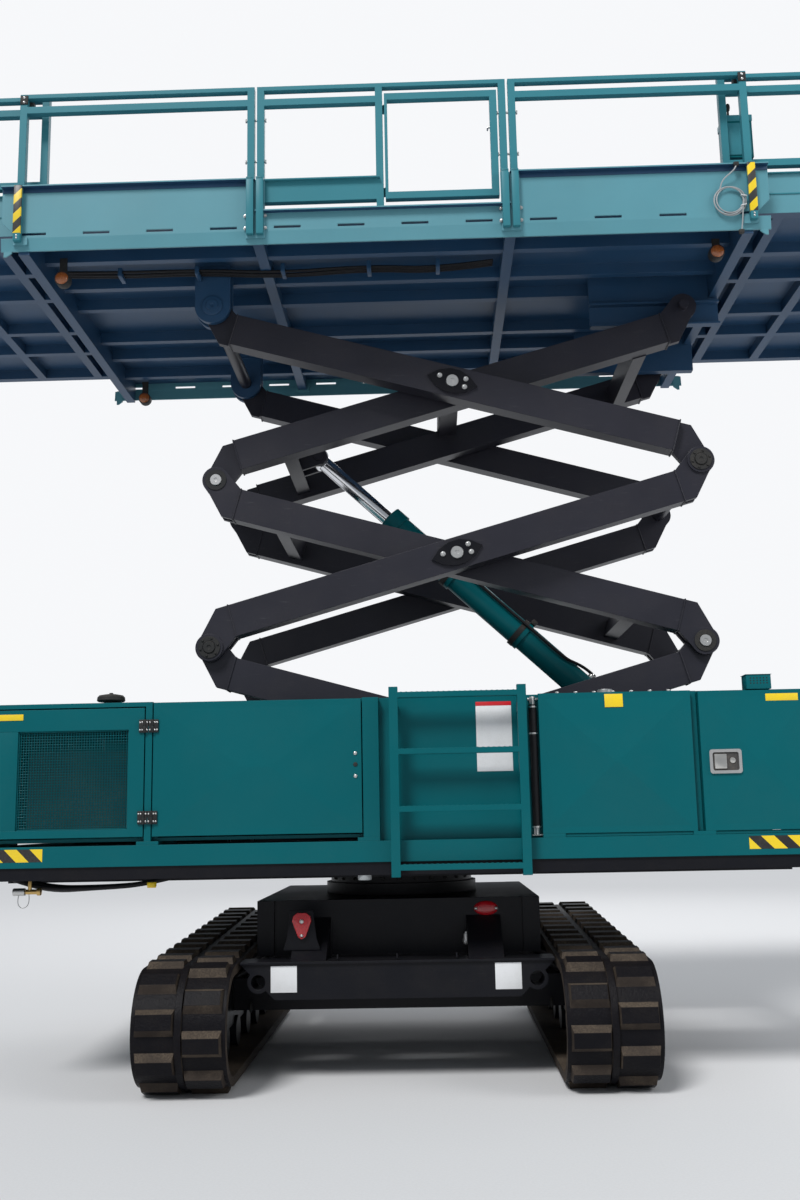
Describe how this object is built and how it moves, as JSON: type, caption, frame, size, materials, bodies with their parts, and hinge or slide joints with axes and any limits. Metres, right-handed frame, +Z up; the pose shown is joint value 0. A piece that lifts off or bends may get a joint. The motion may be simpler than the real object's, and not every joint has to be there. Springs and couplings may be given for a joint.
{
  "type": "crawler scissor lift",
  "caption": "Mobile scissor lift on rubber crawler tracks with a slewing base, three-stage scissor arms and a railed platform with two sliding extension decks.",
  "frame": {"origin": "on the ground under the slewing centre, midway along and across the machine", "axes": "+Z up, +X along the base and the platform to the right as seen in the picture, +Y away from the camera, along the tracks"},
  "size_m": [6.1, 3.0036, 5.3953],
  "materials": {
    "satin_black": "satin black paint with dust",
    "track_rubber": "dark moulded rubber with dry soil",
    "cabinet_paint": "semi-gloss teal paint",
    "arm_paint": "satin charcoal paint",
    "rod_chrome": "polished",
    "platform_paint": "teal paint",
    "cable_grey": "grey cable sheath",
    "deck_paint": "dark paint"
  },
  "bodies": {
    "undercarriage": {"car_body": "satin_black", "axle_front": "satin_black", "axle_back": "satin_black", "end_beam_front": "satin_black", "end_beam_back": "satin_black", "track_frame_left": "satin_black", "track_frame_right": "satin_black", "track_left": "track_rubber", "track_right": "track_rubber", "slew_ring_fixed": "satin_black"},
    "upper_frame": {"slew_ring_turning": "satin_black", "chassis": "satin_black", "side_beams": "cabinet_paint", "lower_pivots": "satin_black", "engine_bay": "cabinet_paint", "locker_front_left": "cabinet_paint", "locker_back_left": "cabinet_paint", "tank_front": "cabinet_paint", "tank_back": "cabinet_paint", "locker_front_right": "cabinet_paint", "locker_back_right": "cabinet_paint", "cabinet_feet": "cabinet_paint", "ladder_panel": "cabinet_paint", "battery_box": "cabinet_paint", "engine_block": "satin_black", "roof_fittings": "cabinet_paint", "ladder": "cabinet_paint"},
    "grille_door_front": {"grille_door_front": "cabinet_paint", "grille_mesh_front": "cabinet_paint"},
    "grille_door_back": {"grille_door_back": "cabinet_paint", "grille_mesh_back": "cabinet_paint"},
    "plain_door_front": {"plain_door_front": "cabinet_paint"},
    "plain_door_back": {"plain_door_back": "cabinet_paint"},
    "latch_door_front": {"latch_door_front": "cabinet_paint"},
    "latch_door_back": {"latch_door_back": "cabinet_paint"},
    "inner_arms_1": {"inner_arms_1": "arm_paint"},
    "outer_arms_1": {"outer_arms_1": "arm_paint"},
    "outer_arms_2": {"outer_arms_2": "arm_paint"},
    "inner_arms_2": {"inner_arms_2": "arm_paint"},
    "outer_arms_3": {"outer_arms_3": "arm_paint"},
    "inner_arms_3": {"inner_arms_3": "arm_paint"},
    "cylinder_barrel": {"cylinder_barrel": "cabinet_paint"},
    "cylinder_rod": {"cylinder_rod": "rod_chrome"},
    "platform": {"deck": "deck_paint", "side_plate_front": "platform_paint", "side_plate_back": "platform_paint", "rails_front": "platform_paint", "rails_back": "platform_paint", "control_cable": "cable_grey"},
    "gate": {"gate": "platform_paint"},
    "extension_right": {"extension_right": "deck_paint", "extension_rails_right": "platform_paint", "control_box": "cabinet_paint"},
    "extension_left": {"extension_left": "deck_paint", "extension_rails_left": "platform_paint"}
  },
  "joints": [
    {"name": "slew", "type": "hinge", "parent": "undercarriage", "child": "upper_frame", "pos_m": [0, 0, 0.936], "axis": [0, 0, 1], "continuous": true},
    {"name": "lift", "type": "hinge", "parent": "upper_frame", "child": "inner_arms_1", "pos_m": [-1.028, 0, 1.24], "axis": [0, -1, 0], "range_deg": [-15.7, 18.3]},
    {"name": "centre_pin_1", "type": "hinge", "parent": "inner_arms_1", "child": "outer_arms_1", "pos_m": [0.36702, 0, 1.74639], "axis": [0, -1, 0], "range_deg": [-36.61, 31.41]},
    {"name": "left_pin_12", "type": "hinge", "parent": "outer_arms_1", "child": "outer_arms_2", "pos_m": [-1.028, 0, 2.25277], "axis": [0, -1, 0], "range_deg": [-31.41, 36.61]},
    {"name": "centre_pin_2", "type": "hinge", "parent": "outer_arms_2", "child": "inner_arms_2", "pos_m": [0.36702, 0, 2.75915], "axis": [0, -1, 0], "range_deg": [-36.61, 31.41]},
    {"name": "right_pin_23", "type": "hinge", "parent": "outer_arms_2", "child": "outer_arms_3", "pos_m": [1.76204, 0, 3.26554], "axis": [0, -1, 0], "range_deg": [-36.61, 31.41]},
    {"name": "centre_pin_3", "type": "hinge", "parent": "outer_arms_3", "child": "inner_arms_3", "pos_m": [0.36702, 0, 3.77192], "axis": [0, -1, 0], "range_deg": [-31.41, 36.61]},
    {"name": "platform_pin", "type": "hinge", "parent": "outer_arms_3", "child": "platform", "pos_m": [-1.028, 0, 4.27831], "axis": [0, -1, 0], "range_deg": [-15.71, 18.31]},
    {"name": "cylinder_foot", "type": "hinge", "parent": "inner_arms_1", "child": "cylinder_barrel", "pos_m": [1.20071, 0, 1.98073], "axis": [0, -1, 0], "range_deg": [-42.1, 36.12]},
    {"name": "cylinder_slide", "type": "slide", "parent": "cylinder_barrel", "child": "cylinder_rod", "axis": [-0.7309, 0, 0.6825], "range_m": [-0.5162, 0.6015]},
    {"name": "grille_door_front_hinge", "type": "hinge", "parent": "upper_frame", "child": "grille_door_front", "pos_m": [-1.255, -1.258, 1.55], "axis": [0, 0, 1], "range_deg": [0, 90]},
    {"name": "plain_door_front_hinge", "type": "hinge", "parent": "upper_frame", "child": "plain_door_front", "pos_m": [-1.215, -1.258, 1.55], "axis": [0, 0, -1], "range_deg": [0, 90]},
    {"name": "latch_door_front_hinge", "type": "hinge", "parent": "upper_frame", "child": "latch_door_front", "pos_m": [2.12203, -1.258, 1.55], "axis": [0, 0, 1], "range_deg": [0, 100]},
    {"name": "grille_door_back_hinge", "type": "hinge", "parent": "upper_frame", "child": "grille_door_back", "pos_m": [-1.255, 1.258, 1.55], "axis": [0, 0, -1], "range_deg": [0, 90]},
    {"name": "plain_door_back_hinge", "type": "hinge", "parent": "upper_frame", "child": "plain_door_back", "pos_m": [-1.215, 1.258, 1.55], "axis": [0, 0, 1], "range_deg": [0, 90]},
    {"name": "latch_door_back_hinge", "type": "hinge", "parent": "upper_frame", "child": "latch_door_back", "pos_m": [2.12203, 1.258, 1.55], "axis": [0, 0, -1], "range_deg": [0, 100]},
    {"name": "gate_hinge", "type": "hinge", "parent": "platform", "child": "gate", "pos_m": [0.012, -1.168, 4.94831], "axis": [0, 0, 1], "range_deg": [0, 90]},
    {"name": "extension_right_slide", "type": "slide", "parent": "platform", "child": "extension_right", "axis": [-1, 0, 0], "range_m": [0, 1]},
    {"name": "extension_left_slide", "type": "slide", "parent": "platform", "child": "extension_left", "axis": [1, 0, 0], "range_m": [0, 1]}
  ],
  "couplings": [
    {"joint": "centre_pin_1", "follows": "lift", "ratio": -2},
    {"joint": "left_pin_12", "follows": "lift", "ratio": 2},
    {"joint": "centre_pin_2", "follows": "lift", "ratio": -2},
    {"joint": "right_pin_23", "follows": "lift", "ratio": -2},
    {"joint": "centre_pin_3", "follows": "lift", "ratio": 2},
    {"joint": "platform_pin", "follows": "lift", "ratio": 1},
    {"joint": "cylinder_foot", "follows": "lift", "ratio": -2.3},
    {"joint": "cylinder_slide", "follows": "lift", "m_per_rad": 1.88}
  ]
}
